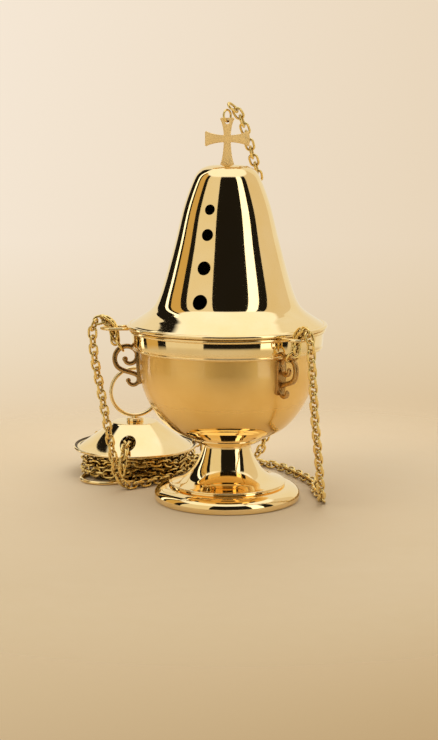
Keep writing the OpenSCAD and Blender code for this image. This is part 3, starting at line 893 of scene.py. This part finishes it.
def floor_material():
    """Pale floor with painted shade, darker towards the front right, that fades out so that it has no
    horizon.
    """
    m, tree, shader = new_material("floor_paper")
    m.blend_method = "BLEND"
    fibre = noise(tree, 60).outputs["Fac"]
    where = node(tree, "ShaderNodeTexCoord").outputs["Object"]
    x, y, _ = node(tree, "ShaderNodeSeparateXYZ", {0: where}).outputs
    # painted shade: the floor darkens towards the front and the right
    painted_shade_depth = node(tree, "ShaderNodeMath", {0: x, 1: -0.35, 2: y}, operation="MULTIPLY_ADD").outputs[0]
    painted_shade_depth = node(tree, "ShaderNodeMath", {0: fibre, 1: 0.05, 2: painted_shade_depth}, operation="MULTIPLY_ADD").outputs[0]
    # colour runs from the painted shade at the front right to the lit paper at the back
    tint = ramp(tree, spread(tree, painted_shade_depth, 0, 1, -0.12, 0.22),
                ((0.0, (0.61, 0.495, 0.335)), (1.0, (0.745, 0.612, 0.435))))
    tree.links.new(tint, shader.inputs["Base Color"])
    tree.links.new(spread(tree, fibre, 0.55, 0.7), shader.inputs["Roughness"])
    shader.inputs["Specular IOR Level"].default_value = 0.25
    reach = node(tree, "ShaderNodeVectorMath", {0: where}, operation="LENGTH").outputs["Value"]
    fade = node(tree, "ShaderNodeMapRange", {"Value": reach, "From Min": 0.16, "From Max": 0.42,
                                             "To Min": 0.0, "To Max": 1.0}, interpolation_type="SMOOTHSTEP")
    clear = node(tree, "ShaderNodeBsdfTransparent").outputs[0]
    mix = node(tree, "ShaderNodeMixShader", {0: fade.outputs["Result"], 1: shader.outputs[0], 2: clear})
    tree.links.new(mix.outputs[0], tree.nodes["Material Output"].inputs["Surface"])
    return m


def build_floor():
    vertices, faces = lathe([(0, 0), (150, 0), (300, 0), (600, 0)], 64, closed=False)
    below = Vector((0, 0, -0.05))
    floor = new_object("floor", [Vector(v) + below for v in vertices], faces)
    floor.data.materials.append(floor_material())


def sky_sectors(tree, direction):
    """What the metal reflects: soft panels and dark gaps, by compass direction. Also the height."""
    x, y, z = node(tree, "ShaderNodeSeparateXYZ", {0: direction}).outputs
    front = node(tree, "ShaderNodeMath", {0: y, 1: -1.0}, operation="MULTIPLY").outputs[0]
    angle = node(tree, "ShaderNodeMath", {0: x, 1: front}, operation="ARCTAN2").outputs[0]
    turn = node(tree, "ShaderNodeMapRange", {"Value": angle, "From Min": -math.pi, "From Max": math.pi})
    dark, cream, white = (0.012, 0.010, 0.008), (0.80, 0.70, 0.52), (1.7, 1.65, 1.5)
    amber, tan, backdrop = (0.62, 0.40, 0.13), (0.74, 0.62, 0.44), (0.85, 0.78, 0.64)
    panels = ((-180, backdrop), (-148, dark), (-126, white), (-119, dark), (-112, amber), (-90, dark),
              (-78, cream), (-29, dark), (38, white), (59, dark), (75, tan), (128, backdrop))
    stops = [((degrees + 180) / 360, colour) for degrees, colour in panels]
    return ramp(tree, turn.outputs[0], stops, "CONSTANT"), z


def build_world():
    """The metal sees panels, an overhead light and the ground; the camera sees a plain backdrop."""
    world = bpy.data.worlds.new("studio")
    bpy.context.scene.world = world
    world.use_nodes = True
    tree = world.node_tree
    direction = node(tree, "ShaderNodeTexCoord").outputs["Generated"]
    panels, height = sky_sectors(tree, direction)
    across = node(tree, "ShaderNodeSeparateXYZ", {0: direction}).outputs[0]
    aside = node(tree, "ShaderNodeMath", {0: across, 1: across}, operation="MULTIPLY").outputs[0]
    bowed = node(tree, "ShaderNodeMath", {0: aside, 1: 0.2, 2: height}, operation="MULTIPLY_ADD")
    overhead = ramp(tree, bowed.outputs[0], ((0.805, (0, 0, 0)), (0.84, (1, 1, 1))))
    with_top = blended(tree, overhead, panels, (1.10, 1.08, 1.04, 1))
    ground = ramp(tree, spread(tree, height, 1, 0, -0.26, -0.20), ((0.0, (0, 0, 0)), (1.0, (1, 1, 1))))
    seen = blended(tree, ground, with_top, (0.66, 0.55, 0.38, 1))
    back = ramp(tree, spread(tree, height, 0, 1, -0.40, 0.12),
                ((0.0, (0.600, 0.440, 0.250)), (0.27, (0.723, 0.546, 0.319)),
                 (0.36, (0.776, 0.597, 0.381)), (0.49, (0.845, 0.705, 0.520)),
                 (0.63, (0.905, 0.785, 0.640)), (1.0, (0.925, 0.810, 0.675))))
    warmth = ramp(tree, spread(tree, across, 0, 1, -0.16, 0.16),
                  ((0.0, (1, 1, 1)), (1.0, (0.89, 0.84, 0.75))))
    shaded = blended(tree, 1.0, back, warmth, "MULTIPLY")
    camera_ray = node(tree, "ShaderNodeLightPath").outputs["Is Camera Ray"]
    shader = tree.nodes["Background"]
    tree.links.new(blended(tree, camera_ray, seen, shaded), shader.inputs["Color"])
    shader.inputs["Strength"].default_value = 1.0


def area_light(name, place, target, size, power, colour):
    data = bpy.data.lights.new(name, "AREA")
    data.shape = "RECTANGLE"
    data.size, data.size_y = size
    data.energy = power
    data.color = colour
    light = bpy.data.objects.new(name, data)
    bpy.context.scene.collection.objects.link(light)
    light.location = place
    light.rotation_euler = (Vector(target) - Vector(place)).to_track_quat("-Z", "Y").to_euler()
    light.visible_camera = False
    light.visible_glossy = False
    return light


def build_lights():
    warm = (1.0, 0.93, 0.82)
    area_light("key_softbox", (-0.9, -0.7, 1.1), (0, 0, 0.08), (0.9, 0.9), 5, warm)
    area_light("top_softbox", (0.1, 0.2, 1.3), (0, 0, 0.05), (1.2, 1.2), 4, warm)
    area_light("fill_softbox", (1.1, -0.4, 0.7), (0, 0, 0.08), (0.7, 0.9), 2, warm)
    card = area_light("cross_card", (0, -0.8, 0.25), (0, 0, LID_TOP * MM), (0.3, 0.24), 0.5, warm)
    card.visible_glossy = True
    only = bpy.data.collections.new("lit_by_card")
    only.objects.link(bpy.data.objects["cross_plate"])
    card.light_linking.receiver_collection = only


def build_camera():
    """Low product view from the front, looking down a little."""
    data = bpy.data.cameras.new("camera")
    data.sensor_fit = "VERTICAL"
    data.sensor_height = 24
    data.lens = 24 * 1460 / 740
    data.dof.use_dof = False
    camera = bpy.data.objects.new("camera", data)
    bpy.context.scene.collection.objects.link(camera)
    camera.location = (-0.0052, -0.93, 0.235)
    looking_down = 9.2
    camera.rotation_euler = (math.radians(90 - looking_down), 0, 0)
    bpy.context.scene.camera = camera


build_camera()
build_bowl()
build_collar()
build_foot()
build_lid()
build_guide_loops()
build_cross()
build_brackets()
build_rivets()
build_chains()
build_heap()
build_cap()
build_handle()
finish_kept_nodes()
build_floor()
build_world()
build_lights()
bpy.context.scene.view_settings.view_transform = "Standard"
